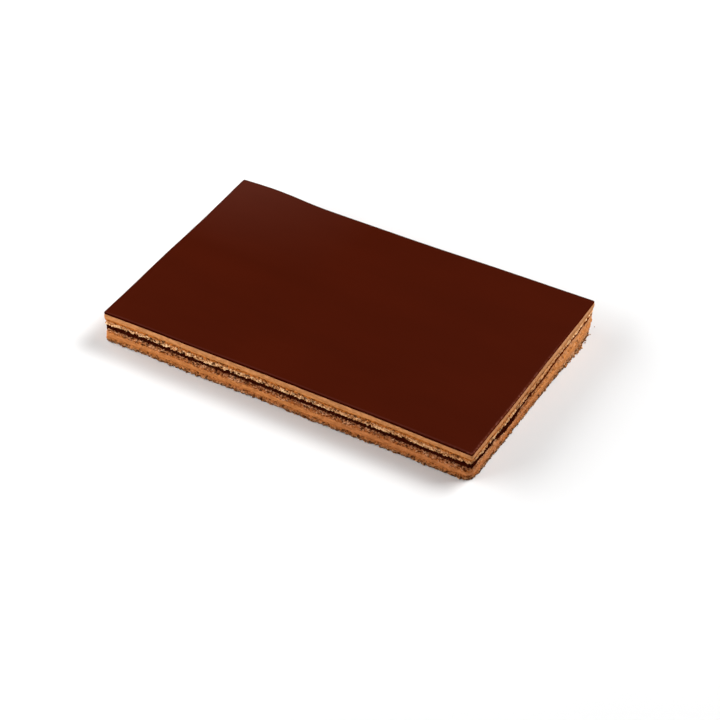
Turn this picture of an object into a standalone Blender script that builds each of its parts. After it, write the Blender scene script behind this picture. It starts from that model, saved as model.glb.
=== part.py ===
"""An opera cake: a rectangular slab of almond sponge, coffee buttercream and ganache under a thin glaze.

Run it with blender --background --python part.py, or from Blender's text editor.
Metres, +Z up. The origin is the middle of the base, +X runs along the long sides and -Y is the front.
"""

import math
from typing import NamedTuple

import bmesh
import bpy

MM = 0.001

# Driving dimensions of the slab
LENGTH = 300 * MM
WIDTH = 184 * MM
GAP = 0.3 * MM  # left between two layers that rest on each other

# The knife's cut: how far the sides stray from a true rectangle, outwards where positive
FRONT_HOLLOW = 1.0 * MM  # the front side's top edge is cut hollow between its ends
FRONT_TURN = 0.1 * MM  # and runs out by this much at its right end
FRONT_FOOT_OUT = 0.4 * MM  # the front side's foot stands out by this much
RIGHT_BELLY = 0.3 * MM  # the right side's top edge is cut full
RIGHT_FOOT_IN = -0.6 * MM  # the right side's foot, at the front
RIGHT_FOOT_OUT = 0.9 * MM  # and behind its middle, where it has spread
LEFT_OUT = 0.9 * MM  # the left side stands out by this much
LEFT_TURN = 0.3 * MM  # and by this much more behind its front end
BACK_OUT = 0.7 * MM  # the back side stands out by this much
BACK_TURN = 1.2 * MM  # and by this much more towards its right end
WAVER_TOP = 0.15 * MM  # all sides wander by this much
WAVER_BASE = 0.4 * MM
WAVER_LENGTH = 105 * MM
WAVER_TURNS = {"front": -0.5, "right": 3.4, "back": 4.2, "left": 2.4}  # each side's start on its wave

# The swell at the back left corner, where the top is raised and the back side bulges
SWELL_X = -LENGTH / 2 + 30 * MM
SWELL_RISE = 1.5 * MM
SWELL_BULGE = 2.0 * MM
SWELL_LEFT = 32 * MM  # from its middle to about half its height, towards the corner
SWELL_RIGHT = 20 * MM  # and away from it
SWELL_DEPTH = 26 * MM  # inwards from the back side

# The pocket in the right side, where sponge is missing under the ganache and the ganache fills the place
POCKET_START = -WIDTH / 2 + 39 * MM
POCKET_END = -WIDTH / 2 + 66 * MM
POCKET_DROP = 3.1 * MM
POCKET_RAMP = 6 * MM
POCKET_REACH = 9 * MM  # inwards from the right side

# Towards the back right corner the ganache runs higher, and thinner
LIFT_BELOW = 3.4 * MM  # of the ganache's lower face
LIFT_ABOVE = 1.6 * MM  # of its upper face
LIFT_START = 10 * MM  # along Y
LIFT_END = 32 * MM

# The grid that a layer's faces follow
STEP = 25 * MM
RIM_STEPS = (0, 1.5 * MM, 4 * MM, 9 * MM)  # closer rows beside each side

CORNER = 0.6 * MM  # radius of the left corners
GLAZE_ROUNDING = 0.5 * MM
ROUNDING_SEGMENTS = 3


class Layer(NamedTuple):
    """One layer of the cake, from the base up."""

    name: str
    thickness: float
    inset: float  # how far its sides stand in from the cut
    belly: float  # how far the middle of its wall stands out from the wall's edges
    worn_front: float  # radius of the front right corner, which has crumbled low down
    worn_back: float  # and of the back right corner
    ripple: float  # how far its upper face rises and falls
    colour: tuple
    roughness: float


def layer_of(name, sizes_mm, colour, roughness):
    return Layer(name, *(size * MM for size in sizes_mm), colour, roughness)


LAYERS = (
    layer_of("sponge_bottom", (4.6, 0.3, 0.3, 8.5, 8.5, 0.25), (0.33, 0.12, 0.04), 0.9),
    layer_of("buttercream_lower", (3.9, 0.2, 0.1, 6.5, 4.5, 0.25), (0.48, 0.17, 0.055), 0.55),
    layer_of("sponge_middle", (4.1, 0.5, -0.2, 4.5, 2.0, 0.35), (0.30, 0.11, 0.045), 0.9),
    layer_of("ganache", (3.5, 0.8, 0.0, 3.5, 2.0, 0.35), (0.025, 0.004, 0.001), 0.45),
    layer_of("sponge_upper", (5.1, 0.4, -0.2, 2.5, 1.5, 0.25), (0.42, 0.20, 0.08), 0.9),
    layer_of("buttercream_upper", (4.1, 0.0, 0.1, 1.4, 0.8, 0.12), (0.53, 0.22, 0.08), 0.55),
    layer_of("glaze", (1.7, 0.2, 0.0, 1.0, 0.6, 0.12), (0.067, 0.007, 0.002), 0.25),
)
HEIGHT = sum(layer.thickness for layer in LAYERS)
GANACHE = [layer.name for layer in LAYERS].index("ganache")


def bell(distance, spread):
    """1 at no distance, falling smoothly to 0 over about two spreads."""
    return math.exp(-0.5 * (distance / spread) ** 2)


def smooth_step(value, start, end):
    """0 before start, 1 after end, and a smooth climb between them."""
    t = min(1.0, max(0.0, (value - start) / (end - start)))
    return t * t * (3 - 2 * t)


def blend(low, high, share):
    return low + (high - low) * share


def swell_along(x):
    """How much of the back left swell the back side has at this place, from 0 to 1."""
    return bell(x - SWELL_X, SWELL_LEFT if x < SWELL_X else SWELL_RIGHT)


def swell(x, y):
    """How much of the back left swell a point has, from 0 to 1."""
    return swell_along(x) * bell(WIDTH / 2 - y, SWELL_DEPTH)


def pocket(x, y):
    """How much of the ganache pocket a point has, from 0 to 1."""
    half = POCKET_RAMP / 2
    along = smooth_step(y, POCKET_START - half, POCKET_START + half)
    along -= smooth_step(y, POCKET_END - half, POCKET_END + half)
    return along * smooth_step(x, LENGTH / 2 - POCKET_REACH, LENGTH / 2 - POCKET_REACH / 4)


def lift(x, y):
    """How much of the back right lift of the ganache a point has, from 0 to 1."""
    return smooth_step(y, LIFT_START, LIFT_END) * smooth_step(x, 0, LENGTH / 2)


def ripple(x, y, level):
    """The slow rise and fall of the face above a layer, from about -1 to 1."""
    turn = 1.9 * level
    along = math.sin(2 * math.pi * x / (130 * MM) + turn)
    slanted = math.sin(2 * math.pi * (0.5 * x + y) / (85 * MM) + 1.7 * turn)
    return 0.6 * along + 0.4 * slanted


def face_height(level, x, y):
    """Height of the face between two layers. Level 0 is the flat base, and level 7 the top of the glaze."""
    if level == 0:
        return 0.0
    nominal = sum(layer.thickness for layer in LAYERS[:level])
    below = LAYERS[level - 1]
    # The glaze was poured level with the buttercream, so its two faces rise and fall together.
    wave = ripple(x, y, min(level, len(LAYERS) - 1))
    height = nominal + below.ripple * wave + SWELL_RISE * swell(x, y) * nominal / HEIGHT
    if level == GANACHE:
        height += LIFT_BELOW * lift(x, y) - POCKET_DROP * pocket(x, y)
    if level == GANACHE + 1:
        height += LIFT_ABOVE * lift(x, y)
    return height


def cut_offsets(x, y, share):
    """How far the cut lies outside a true rectangle, along X and Y, at this share of the height."""
    along_x, along_y = 2 * x / LENGTH, 2 * y / WIDTH
    waver = blend(WAVER_BASE, WAVER_TOP, share)
    turn_x = WAVER_TURNS["right" if x > 0 else "left"]
    turn_y = WAVER_TURNS["back" if y > 0 else "front"]
    out_x = waver * math.sin(2 * math.pi * y / WAVER_LENGTH + turn_x)
    out_y = waver * math.sin(2 * math.pi * x / WAVER_LENGTH + turn_y)
    if x > 0:
        spread = smooth_step(y, -WIDTH / 16, WIDTH / 8) - smooth_step(y, 3 * WIDTH / 8, WIDTH / 2)
        foot = blend(RIGHT_FOOT_IN, RIGHT_FOOT_OUT, spread)
        out_x += blend(foot, RIGHT_BELLY * (0.9 - along_y**2), share)
    else:
        out_x += LEFT_OUT + LEFT_TURN * smooth_step(y, -WIDTH / 2, -WIDTH / 8)
    if y > 0:
        out_y += BACK_OUT + BACK_TURN * smooth_step(x, LENGTH / 10, 2 * LENGTH / 5)
        out_y += SWELL_BULGE * swell_along(x)
    else:
        edge = FRONT_HOLLOW * (along_x**2 - 0.5) + FRONT_TURN * along_x
        out_y += blend(FRONT_FOOT_OUT, edge, share)
    return out_x, out_y


def rounded(x, y, radius):
    """A point of the true rectangle, moved so that its nearest corner becomes an arc of this radius."""
    over_x = abs(x) - (LENGTH / 2 - radius)
    over_y = abs(y) - (WIDTH / 2 - radius)
    if over_x <= 0 or over_y <= 0:
        return x, y
    shrink = max(over_x, over_y) / math.hypot(over_x, over_y)
    new_x = LENGTH / 2 - radius + over_x * shrink
    new_y = WIDTH / 2 - radius + over_y * shrink
    return math.copysign(new_x, x), math.copysign(new_y, y)


def in_plan(x, y, layer, share, out):
    """Where a point of the true rectangle lies in this layer, whose wall stands out a further distance."""
    if x > 0:
        radius = layer.worn_back if y > 0 else layer.worn_front
    else:
        radius = CORNER
    x, y = rounded(x, y, radius)
    cut_x, cut_y = cut_offsets(x, y, share)
    x += 2 * x / LENGTH * (cut_x + out - layer.inset)
    y += 2 * y / WIDTH * (cut_y + out - layer.inset)
    return x, y


def stations(span, features):
    """Where the grid's rows lie over a span about 0: close by the rims, even between, and at features."""
    rims = [side * (span / 2 - step) for step in RIM_STEPS for side in (-1, 1)]
    kept = rims + list(features)
    count = round(span / STEP)
    even = [span * (i / count - 0.5) for i in range(1, count)]
    kept += [e for e in even if min(abs(e - k) for k in kept) > STEP / 3]
    return sorted(kept)


def grid_rows(layer):
    """The grid's rows along X and along Y, with closer ones where this layer has a local form."""
    swell_rows = [SWELL_X - SWELL_LEFT / 2, *(SWELL_X + step * SWELL_RIGHT for step in (0, 0.8, 1.6))]
    pocket_rows = []
    if layer.name in ("sponge_middle", "ganache"):
        middle = (POCKET_START + POCKET_END) / 2
        ends = [end + side * POCKET_RAMP / 2 for end in (POCKET_START, POCKET_END) for side in (-1, 1)]
        pocket_rows = [*ends, middle]
    return stations(LENGTH, swell_rows), stations(WIDTH, pocket_rows)


def material_of(layer):
    material = bpy.data.materials.new(layer.name)
    material.use_nodes = True
    shader = material.node_tree.nodes["Principled BSDF"]
    shader.inputs["Base Color"].default_value = (*layer.colour, 1)
    shader.inputs["Roughness"].default_value = layer.roughness
    shader.inputs["Metallic"].default_value = 0
    return material


def layer_mesh(layer, level):
    """A closed block on the layer's grid, whose vertices are then set between its lower and upper faces."""
    rows_x, rows_y = grid_rows(layer)
    cells_x, cells_y = len(rows_x) - 1, len(rows_y) - 1
    block = bmesh.new()
    bmesh.ops.create_grid(block, x_segments=cells_x, y_segments=cells_y, size=0.5)
    # Split the same way in every layer, so that two faces that meet stay a gap apart.
    bmesh.ops.triangulate(block, faces=block.faces[:], quad_method="FIXED")
    raised = bmesh.ops.extrude_face_region(block, geom=block.faces[:])["geom"]
    upper = [v for v in raised if isinstance(v, bmesh.types.BMVert)]
    bmesh.ops.translate(block, verts=upper, vec=(0, 0, 1))
    bmesh.ops.recalc_face_normals(block, faces=block.faces[:])
    if layer.belly:
        uprights = [e for e in block.edges if abs(e.verts[0].co.z - e.verts[1].co.z) > 0.5]
        bmesh.ops.subdivide_edges(block, edges=uprights, cuts=1)
    if layer.name == "glaze":
        rim = block.edges.layers.float.new("bevel_weight_edge")
        for edge in block.edges:
            on_top = all(v.co.z > 0.9 for v in edge.verts)
            edge[rim] = 1.0 if on_top and edge.calc_face_angle() > math.radians(45) else 0.0
    base = sum(below.thickness for below in LAYERS[:level])
    for vertex in block.verts:
        share = vertex.co.z
        out = layer.belly * 4 * share * (1 - share)
        column = round((vertex.co.x + 0.5) * cells_x)
        row = round((vertex.co.y + 0.5) * cells_y)
        height_share = (base + share * layer.thickness) / HEIGHT
        x, y = in_plan(rows_x[column], rows_y[row], layer, height_share, out)
        low = face_height(level, x, y) + (GAP / 2 if level else 0)
        high = face_height(level + 1, x, y) - GAP / 2
        vertex.co = (x, y, blend(low, high, share))
    mesh = bpy.data.meshes.new(layer.name)
    block.to_mesh(mesh)
    block.free()
    mesh.shade_smooth()
    mesh.set_sharp_from_angle(angle=math.radians(40))
    return mesh


def add_layer(layer, level, collection):
    mesh = layer_mesh(layer, level)
    mesh.materials.append(material_of(layer))
    slab = bpy.data.objects.new(layer.name, mesh)
    collection.objects.link(slab)
    if layer.name == "glaze":
        rounding = slab.modifiers.new("rounded rim", "BEVEL")
        rounding.limit_method = "WEIGHT"
        rounding.width = GLAZE_ROUNDING
        rounding.segments = ROUNDING_SEGMENTS
    return slab


def main():
    for old in list(bpy.data.objects):
        bpy.data.objects.remove(old)
    cake = bpy.data.collections.new("opera_cake")
    bpy.context.scene.collection.children.link(cake)
    for level, layer in enumerate(LAYERS):
        add_layer(layer, level, cake)


main()
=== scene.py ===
"""The looks of an opera cake: torn sponge, drawn buttercream, a seam of ganache, a poured glaze and crumbs.

Every layer of the frame is replaced by a finer mesh on the same outline. Metres, +Z up, front at -Y.
"""

import math
from functools import partialmethod
from typing import NamedTuple

import bmesh
import bpy
import numpy as np
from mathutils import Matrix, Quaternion, Vector
from mathutils.bvhtree import BVHTree


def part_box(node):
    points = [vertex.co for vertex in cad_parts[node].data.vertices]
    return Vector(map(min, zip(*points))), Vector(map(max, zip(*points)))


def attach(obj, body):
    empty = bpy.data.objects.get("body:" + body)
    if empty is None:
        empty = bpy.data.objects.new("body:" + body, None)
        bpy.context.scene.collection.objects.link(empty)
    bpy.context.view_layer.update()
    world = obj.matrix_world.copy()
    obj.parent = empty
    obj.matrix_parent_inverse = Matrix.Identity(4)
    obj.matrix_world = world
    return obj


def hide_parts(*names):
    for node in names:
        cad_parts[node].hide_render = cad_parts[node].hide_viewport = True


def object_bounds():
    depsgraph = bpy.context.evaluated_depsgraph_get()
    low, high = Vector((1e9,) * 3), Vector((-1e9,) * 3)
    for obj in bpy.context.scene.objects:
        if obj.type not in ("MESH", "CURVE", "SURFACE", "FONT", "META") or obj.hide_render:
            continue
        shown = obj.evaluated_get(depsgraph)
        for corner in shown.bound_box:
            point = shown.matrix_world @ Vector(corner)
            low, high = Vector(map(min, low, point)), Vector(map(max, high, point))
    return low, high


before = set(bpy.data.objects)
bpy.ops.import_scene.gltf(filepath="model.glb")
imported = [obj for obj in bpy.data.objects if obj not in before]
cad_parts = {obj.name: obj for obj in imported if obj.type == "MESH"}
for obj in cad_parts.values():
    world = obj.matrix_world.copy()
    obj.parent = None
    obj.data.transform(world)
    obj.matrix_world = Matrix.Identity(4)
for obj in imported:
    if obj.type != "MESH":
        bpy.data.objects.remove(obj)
cad_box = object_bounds()

MM = 0.001
LAYERS = (
    "sponge_bottom", "buttercream_lower", "sponge_middle", "ganache",
    "sponge_upper", "buttercream_upper", "glaze",
)
GANACHE = LAYERS.index("ganache")
GLAZE = LAYERS.index("glaze")

# The rim is a ring of stations round the cake, and every wall's mesh has one column for each of them.
STATION = 0.32 * MM
COARSE = 16  # inside the cake, one point for so many stations
RAY_START = 1.0  # above or below the board, for the flat faces
FAN = 14 * MM  # rays to the walls start this far inside, and fan out round the corners
RIM_SOFTNESS = 3.5 * MM  # rounds off the frame's flat facets
CORNER_SOFTNESS = 0.45 * MM
CORNER_REACH = (9 * MM, 18 * MM)  # from a corner along the rim, where the softness changes
FACE_SOFTNESS = 5 * MM
SEAM_SOFTNESS = 1.5 * MM  # for the ganache's faces, which have a small pocket
MAP_STEP = 2 * MM
LEAST_WEIGHT = 1e-9  # keeps a map from dividing by nothing
RIM_INSET = 2.5 * MM  # a seam's height at the wall is read this far inside
OVERLAP = 0.1 * MM  # each layer reaches this far into the one below it
CAP_INSETS = (0.5 * MM, 2.0 * MM)
COARSE_INSET = 6 * MM
CAP_RINGS = 12  # from there to the middle
GLAZE_RINGS = 40
PROBES = (0.15, 0.5, 0.85)  # shares of a layer's height where its wall is measured

# What follows is set by share of the way round the cake, from the front left corner. The front right corner
# is at 0.31, and the back right one at 0.50. First, how torn and stained the cut is, from 0 to 1.
TEAR = ((0, 1), (0.36, 0.95), (0.395, 0.78), (0.41, 0.56), (0.43, 0.5), (0.5, 0.42), (0.54, 0.8), (0.98, 0.8))
LEAST_RELIEF = 0.8  # of the crumb, where the cut is clean
# How far a seam lies above the frame's, in mm, by the level of the layer above it.
SHIFTS = {
    GANACHE: (
        (0, -0.15), (0.08, -0.1), (0.11, 0.25), (0.30, 0.2), (0.315, -0.6), (0.346, -0.6), (0.352, 0),
        (0.358, 0), (0.362, -1.0), (0.376, -1.0), (0.381, 0), (0.96, 0),
    ),
    GANACHE + 1: (
        (0, -0.25), (0.15, -0.25), (0.18, -0.05), (0.293, 0), (0.299, 0.7), (0.319, 0.6), (0.327, -0.6),
        (0.42, -0.5), (0.44, 0), (0.96, 0),
    ),
    GANACHE + 2: (
        (0, 0.15), (0.06, 0.1), (0.08, -0.35), (0.13, -0.3), (0.15, -0.15), (0.20, -0.1), (0.23, 0.3),
        (0.30, 0.3), (0.33, 0), (0.96, 0),
    ),
    GLAZE: (
        (0, 0.25), (0.22, 0.25), (0.26, 0), (0.31, 0), (0.33, 0.2), (0.42, 0.45), (0.49, 0.45), (0.51, 0),
        (0.96, 0),
    ),
}
# How strong the painted highlight along the glaze's rim is, from 0 to 1. The same table makes the upper cream
# darker and pinker just under the rim.
RIM_GLINT_AND_DARKENING = (
    (0, 0.15), (0.30, 0.35), (0.315, 1.0), (0.37, 1.0), (0.41, 0.65), (0.45, 0.35), (0.49, 0.2), (0.55, 0.1),
    (0.98, 0.1),
)
# How many pale flakes stand out of the upper sponge, from 0 to 1.
FLAKY = (
    (0, 1), (0.17, 1), (0.22, 0.7), (0.28, 0.65), (0.29, 0.35), (0.312, 0.35), (0.33, 0.7), (0.37, 0.7),
    (0.395, 0.3), (0.43, 0.1), (0.445, 0.95), (0.49, 0.95), (0.53, 0.8), (0.98, 1.0),
)
CLEAN_TO_TORN = (0.45, 0.85)  # a cut is clean below the first, and torn above the second


def blend(low, high, share):
    return low + (high - low) * share


def smooth_step(value, start, end):
    t = np.clip((value - start) / (end - start), 0, 1)
    return t * t * (3 - 2 * t)


# ---- noise on the walls


GRAIN_BAND = (0.9, 0.45)  # its middle and breadth, in cycles for each wavelength
GRAIN_ROWS = 64  # at least
PORE_LENGTH = (1.0, 1.9)  # by its radius
PORE_DEPTH = (0.7, 1.2)
TOOTH_WIDTH = (0.4, 1.0)  # by the seam's own
TOOTH_HEIGHT = (0.15, 1.0)
TOOTH_POINT = 0.8  # below 1 is blunter


def grain(rows, columns, wave, seed, stretch=1.0):
    """Unit noise over a wall's grid, with this wavelength upwards and stretch times it along the wall."""
    padded = max(GRAIN_ROWS, 2 * rows) if rows > 1 else 1
    white = np.random.default_rng(seed).standard_normal((padded, columns))
    up = np.fft.fftfreq(padded)[:, None]
    along = np.fft.fftfreq(columns)[None, :]
    cycles = np.hypot(up, along * stretch) * wave / STATION
    middle, breadth = GRAIN_BAND
    band = np.exp(-(((cycles - middle) / breadth) ** 2))
    field = np.fft.ifft2(np.fft.fft2(white) * band).real
    return field[:rows] / field.std()


def pores(rows, columns, per_mm2, smallest, largest, seed):
    """Depths of round holes strewn over a wall's grid. Small holes are the most common."""
    random = np.random.default_rng(seed)
    depth = np.zeros((rows, columns))
    count = int(per_mm2 * rows * columns * (STATION / MM) ** 2)
    for _ in range(count):
        radius = blend(smallest, largest, random.random() ** 3) / STATION
        length = radius * random.uniform(*PORE_LENGTH)
        row = random.uniform(0, rows)
        column = random.uniform(0, columns)
        near_rows = np.arange(max(0, int(row - radius)), min(rows, int(row + radius) + 2))
        near_columns = np.arange(int(column - length), int(column + length) + 2)
        off = ((near_rows - row) / radius)[:, None] ** 2 + ((near_columns - column) / length)[None, :] ** 2
        hole = np.sqrt(np.clip(1 - off, 0, 1)) * radius * STATION * random.uniform(*PORE_DEPTH)
        cells = np.ix_(near_rows, near_columns % columns)
        depth[cells] = np.maximum(depth[cells], hole)
    return depth


def teeth(columns, spacing, width, height, seed):
    """Pointed teeth along a seam, no two alike, up to this height."""
    random = np.random.default_rng(seed)
    found = np.zeros(columns)
    for _ in range(int(columns * STATION / spacing)):
        half = random.uniform(*TOOTH_WIDTH) * width / STATION
        middle = random.uniform(0, columns)
        near = np.arange(int(middle - half), int(middle + half) + 2)
        slope = np.clip(1 - np.abs(near - middle) / half, 0, 1)
        tooth = slope**TOOTH_POINT * height * random.uniform(*TOOTH_HEIGHT)
        found[near % columns] = np.maximum(found[near % columns], tooth)
    return found


def smoothed_ring(values, softness):
    """Values round the rim, blurred by this distance."""
    cycles = np.fft.fftfreq(values.shape[-1]) / STATION
    blur = np.exp(-2 * (np.pi * cycles * softness) ** 2)
    return np.fft.ifft(np.fft.fft(values, axis=-1) * blur, axis=-1).real


# ---- what the frame's layers measure


def tree_of(name):
    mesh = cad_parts[name].data
    return BVHTree.FromPolygons([v.co for v in mesh.vertices], [p.vertices for p in mesh.polygons])


def distance_to(tree, origin, direction):
    """How far it is to the tree's surface, or NaN where the ray misses it."""
    found = tree.ray_cast(Vector(origin), Vector(direction))[3]
    return math.nan if found is None else found


trees = {name: tree_of(name) for name in LAYERS}


class FaceMap:
    """The smoothed height of the face between two layers, by place. It runs midway in their gap."""

    def __init__(self, level):
        self.x = np.arange(cad_box[0].x - MAP_STEP, cad_box[1].x + 2 * MAP_STEP, MAP_STEP)
        self.y = np.arange(cad_box[0].y - MAP_STEP, cad_box[1].y + 2 * MAP_STEP, MAP_STEP)
        sides = []
        if level > 0:
            sides.append(self.measured(LAYERS[level - 1], 1))
        if level <= GLAZE:
            sides.append(self.measured(LAYERS[level], -1))
        softness = SEAM_SOFTNESS if level in (GANACHE, GANACHE + 1) else FACE_SOFTNESS
        self.height = self.smoothed(np.mean(sides, axis=0), softness)

    def measured(self, name, side):
        """Heights of a layer's upper face, or of its lower one where side is -1."""
        start = side * RAY_START
        rays = [[distance_to(trees[name], (x, y, start), (0, 0, -side)) for x in self.x] for y in self.y]
        return start - side * np.array(rays)

    def smoothed(self, height, softness):
        """Heights blurred by this distance, and carried on beyond the rim."""
        known = np.isfinite(height)
        shape = [2 * n for n in height.shape]
        cycles = np.hypot(np.fft.fftfreq(shape[0])[:, None], np.fft.fftfreq(shape[1])[None, :]) / MAP_STEP
        blur = np.exp(-2 * (np.pi * cycles * softness) ** 2)

        def blurred(field):
            padded = np.pad(field, [(0, n) for n in field.shape])
            return np.fft.ifft2(np.fft.fft2(padded) * blur).real[: field.shape[0], : field.shape[1]]

        weight = blurred(known.astype(float))
        return blurred(np.where(known, height, 0)) / np.maximum(weight, LEAST_WEIGHT)

    def at(self, place):
        """The height at places given as x and y, one row each. Beyond the rim it is the rim's."""
        column = (np.clip(place[0], self.x[2], self.x[-3]) - self.x[0]) / MAP_STEP
        row = (np.clip(place[1], self.y[2], self.y[-3]) - self.y[0]) / MAP_STEP
        c, r = column.astype(int), row.astype(int)
        low = blend(self.height[r, c], self.height[r, c + 1], column - c)
        high = blend(self.height[r + 1, c], self.height[r + 1, c + 1], column - c)
        return blend(low, high, row - r)


class Rim:
    """The stations round the cake: their places on a true rectangle, and the rays that lead out to them."""

    def __init__(self, half_x, half_y):
        turns = np.cumsum(np.array([0, half_x, half_y, half_x, half_y]) * 2)
        self.count = COARSE * round(turns[-1] / STATION / COARSE)
        along = np.arange(self.count) * turns[-1] / self.count
        x = np.interp(along, turns, [-half_x, half_x, half_x, -half_x, -half_x])
        y = np.interp(along, turns, [-half_y, -half_y, half_y, half_y, -half_y])
        inner_x, inner_y = half_x - FAN, half_y - FAN
        self.start = np.stack([np.clip(x, -inner_x, inner_x), np.clip(y, -inner_y, inner_y)])
        self.straight = smooth_step(np.hypot(half_x - np.abs(x), half_y - np.abs(y)), *CORNER_REACH)
        self.share = along / turns[-1]
        self.torn, self.dragged, self.flaky = (self.read(table) for table in (TEAR, RIM_GLINT_AND_DARKENING, FLAKY))
        self.shift = {level: self.read(table) * MM for level, table in SHIFTS.items()}
        self.relief = np.maximum(self.torn, LEAST_RELIEF)
        self.clean = 1 - smooth_step(self.torn, *CLEAN_TO_TORN)
        ray = np.stack([x, y]) - self.start
        self.reach = np.hypot(*ray)
        self.ray = ray / self.reach

    def read(self, table):
        """A table by share of the way round, as one value for each station."""
        return np.interp(self.share, *np.transpose(table), period=1)

    def at(self, outset):
        """Places that stand out from the rectangle by this distance, as x and y."""
        return self.start + self.ray * (self.reach + outset)

    def outset_of(self, name, height):
        """How far a layer's wall stands out from the rectangle at each station, at these heights."""
        rays = zip(*self.at(FAN), height, *self.ray)
        outset = FAN - np.array([distance_to(trees[name], (x, y, z), (-u, -v, 0)) for x, y, z, u, v in rays])
        outset[outset < -FAN / 2] = math.nan
        known = np.flatnonzero(np.isfinite(outset))
        whole = np.interp(np.arange(self.count), known, outset[known], period=self.count)
        corner = smoothed_ring(self.reach + whole, CORNER_SOFTNESS) - self.reach
        return blend(corner, smoothed_ring(whole, RIM_SOFTNESS), self.straight)


face_maps = [FaceMap(level) for level in range(len(LAYERS) + 1)]
lowest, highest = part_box("buttercream_upper")
rim = Rim(min(-lowest.x, highest.x), min(-lowest.y, highest.y))


# ---- seams and walls


class Seam(NamedTuple):
    """How a seam strays from the frame's smooth face, where it shows at the wall."""

    wave: float
    depth: float
    up: float = 0  # the height of the teeth that the layer below pushes into the one above
    down: float = 0  # and of those that the layer above pushes down
    spacing: float = 6 * MM
    width: float = 1.0 * MM


# From the foot to the glaze's lower face.
SEAMS = (
    Seam(2.4 * MM, 0.12 * MM, up=0.7 * MM, spacing=2.4 * MM, width=0.8 * MM),
    Seam(3.0 * MM, 0.15 * MM),
    Seam(3.0 * MM, 0.25 * MM, down=0.9 * MM, spacing=3.5 * MM),
    Seam(2.2 * MM, 0.22 * MM, down=1.3 * MM, spacing=4.0 * MM, width=1.1 * MM),
    Seam(2.4 * MM, 0.18 * MM, up=1.6 * MM, spacing=6.5 * MM, width=0.9 * MM),
    Seam(4.0 * MM, 0.12 * MM),
    Seam(14 * MM, 0.04 * MM),
)
THINNEST = 0.15 * MM  # what is left of a layer where a seam strays into it


def seam_height(level):
    """The height of a seam at each station, where it reaches the wall."""
    seam = SEAMS[level]
    stray = seam.depth * grain(1, rim.count, seam.wave, 10 + level)[0]
    if seam.up:
        stray += teeth(rim.count, seam.spacing, seam.width, seam.up, 30 + level)
    if seam.down:
        stray -= teeth(rim.count, seam.spacing, seam.width, seam.down, 50 + level)
    height = smooth_seams[level] + stray * rim.torn
    height += rim.shift.get(level, 0)
    return np.maximum(height, cad_box[0].z) if level == 0 else height


class Wall(NamedTuple):
    """The relief of a layer's wall: noises as (wave, depth, stretch), and pits as (count per mm2, radii)."""

    row: float  # the height of its mesh's cells
    noises: tuple
    pits: tuple
    stand: float = 0  # how far it stands out from the frame's solid
    flush: float = 0  # and how much further where the cut is clean
    knobs: float = 0  # how far rounded lumps swell its foot
    ragged_foot: bool = False  # its foot is as ragged where the cut is clean


KNOB_WAVE = 3.6 * MM
KNOB_FADE = 1.5  # how fast the lumps fade upwards, as a power
RAGGED_FOOT = (0.25, 0.75)  # by share of the layer's height, where it ends
SPONGE_NOISES = ((1.2 * MM, 0.13 * MM, 1.5), (2.8 * MM, 0.17 * MM, 2.0), (9 * MM, 0.10 * MM, 2.0))
CREAM_NOISES = ((1.1 * MM, 0.03 * MM, 7.0), (5 * MM, 0.07 * MM, 4.0))
GANACHE_NOISES = ((1.4 * MM, 0.09 * MM, 1.8), (5 * MM, 0.12 * MM, 2.0))
FINE_ROW = 0.31 * MM
CREAM_ROW = 0.42 * MM
FOOT_PITS = ((0.35, 0.2 * MM, 0.9 * MM),)
MIDDLE_PITS = ((0.55, 0.2 * MM, 0.9 * MM),)
UPPER_PITS = ((0.45, 0.2 * MM, 0.8 * MM), (0.02, 0.8 * MM, 1.3 * MM))
WALLS = (
    Wall(FINE_ROW, SPONGE_NOISES, FOOT_PITS, stand=0.2 * MM, knobs=0.35 * MM, ragged_foot=True),
    Wall(CREAM_ROW, CREAM_NOISES, ((0.03, 0.2 * MM, 0.5 * MM),), stand=0.05 * MM),
    Wall(FINE_ROW, SPONGE_NOISES, MIDDLE_PITS, stand=0.15 * MM),
    Wall(FINE_ROW, GANACHE_NOISES, ((0.10, 0.2 * MM, 0.5 * MM),), stand=0.25 * MM, flush=0.4 * MM),
    Wall(FINE_ROW, SPONGE_NOISES, UPPER_PITS, stand=0.15 * MM),
    Wall(CREAM_ROW, CREAM_NOISES, ((0.02, 0.2 * MM, 0.4 * MM),)),
)
EDGE_ROUNDING = 0.12 * MM
EDGE_REACH = 0.5 * MM


class Surface(NamedTuple):
    """A layer's wall as grids: heights, outsets, the depth of its pits, and how proud its crumb stands."""

    height: np.ndarray
    outset: np.ndarray
    hollow: np.ndarray
    proud: np.ndarray


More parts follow.
